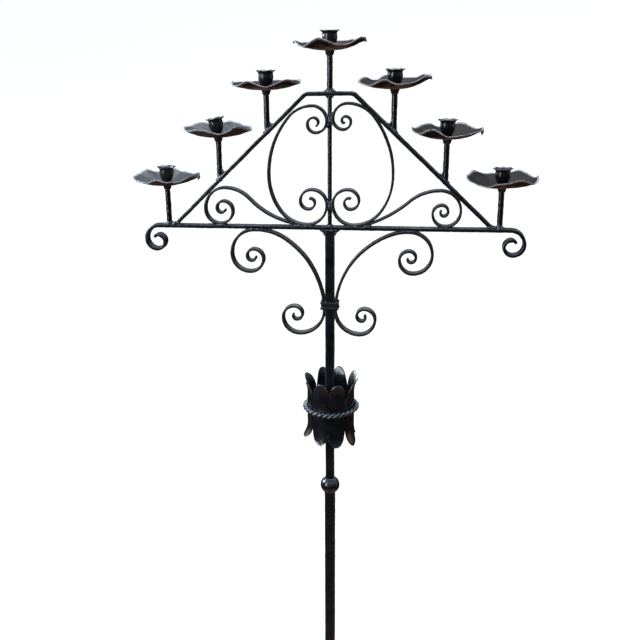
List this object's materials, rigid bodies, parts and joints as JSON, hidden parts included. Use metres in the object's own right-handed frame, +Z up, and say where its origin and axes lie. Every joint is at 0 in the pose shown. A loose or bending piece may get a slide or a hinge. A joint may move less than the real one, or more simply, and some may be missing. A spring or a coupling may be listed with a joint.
{
  "type": "candelabrum",
  "caption": "Free-standing wrought-iron candelabrum: a stepped arch of drip pans and candle cups over a scrolled crossbar, on a square post with a leaf sleeve, a knop and scrolled legs.",
  "frame": {"origin": "on the floor, under the middle of the post", "axes": "+Z up along the post, +X along the crossbar to the right, -Y to the front"},
  "size_m": [0.711, 0.4068, 1.5497],
  "materials": {
    "bar_iron": "black satin paint on hammered bar",
    "scroll_iron": "black satin paint on hammered flat bar",
    "pan_iron": "black paint on hammered sheet, worn grey on top",
    "cup_iron": "black gloss paint",
    "leaf_iron": "black gloss paint on hammered sheet"
  },
  "bodies": {
    "root": {"lower_post": "bar_iron", "upper_post": "bar_iron", "post_knop": "bar_iron", "crossbar": "bar_iron", "arch_bar": "bar_iron", "centre_rod": "bar_iron", "lyre_scroll_left": "scroll_iron", "lyre_scroll_right": "scroll_iron", "side_scroll_left": "scroll_iron", "side_scroll_right": "scroll_iron", "bracket_scroll_left": "scroll_iron", "bracket_scroll_right": "scroll_iron", "scroll_collar": "bar_iron", "leg_collar": "bar_iron", "sleeve_leaf_1": "leaf_iron", "sleeve_leaf_2": "leaf_iron", "sleeve_leaf_3": "leaf_iron", "sleeve_leaf_4": "leaf_iron", "sleeve_leaf_5": "leaf_iron", "sleeve_leaf_6": "leaf_iron", "sleeve_leaf_7": "leaf_iron", "sleeve_leaf_8": "leaf_iron", "sleeve_tie_ring": "leaf_iron", "sleeve_plate": "leaf_iron", "candle_stem_1": "bar_iron", "drip_pan_1": "pan_iron", "candle_cup_1": "cup_iron", "candle_stem_2": "bar_iron", "drip_pan_2": "pan_iron", "candle_cup_2": "cup_iron", "candle_stem_3": "bar_iron", "drip_pan_3": "pan_iron", "candle_cup_3": "cup_iron", "candle_stem_4": "bar_iron", "drip_pan_4": "pan_iron", "candle_cup_4": "cup_iron", "candle_stem_5": "bar_iron", "drip_pan_5": "pan_iron", "candle_cup_5": "cup_iron", "candle_stem_6": "bar_iron", "drip_pan_6": "pan_iron", "candle_cup_6": "cup_iron", "candle_stem_7": "bar_iron", "drip_pan_7": "pan_iron", "candle_cup_7": "cup_iron", "stem_bosses": "bar_iron", "cup_rivets": "cup_iron", "foot_leg_1": "bar_iron", "foot_leg_2": "bar_iron", "foot_leg_3": "bar_iron", "foot_leg_4": "bar_iron"}
  },
  "joints": []
}
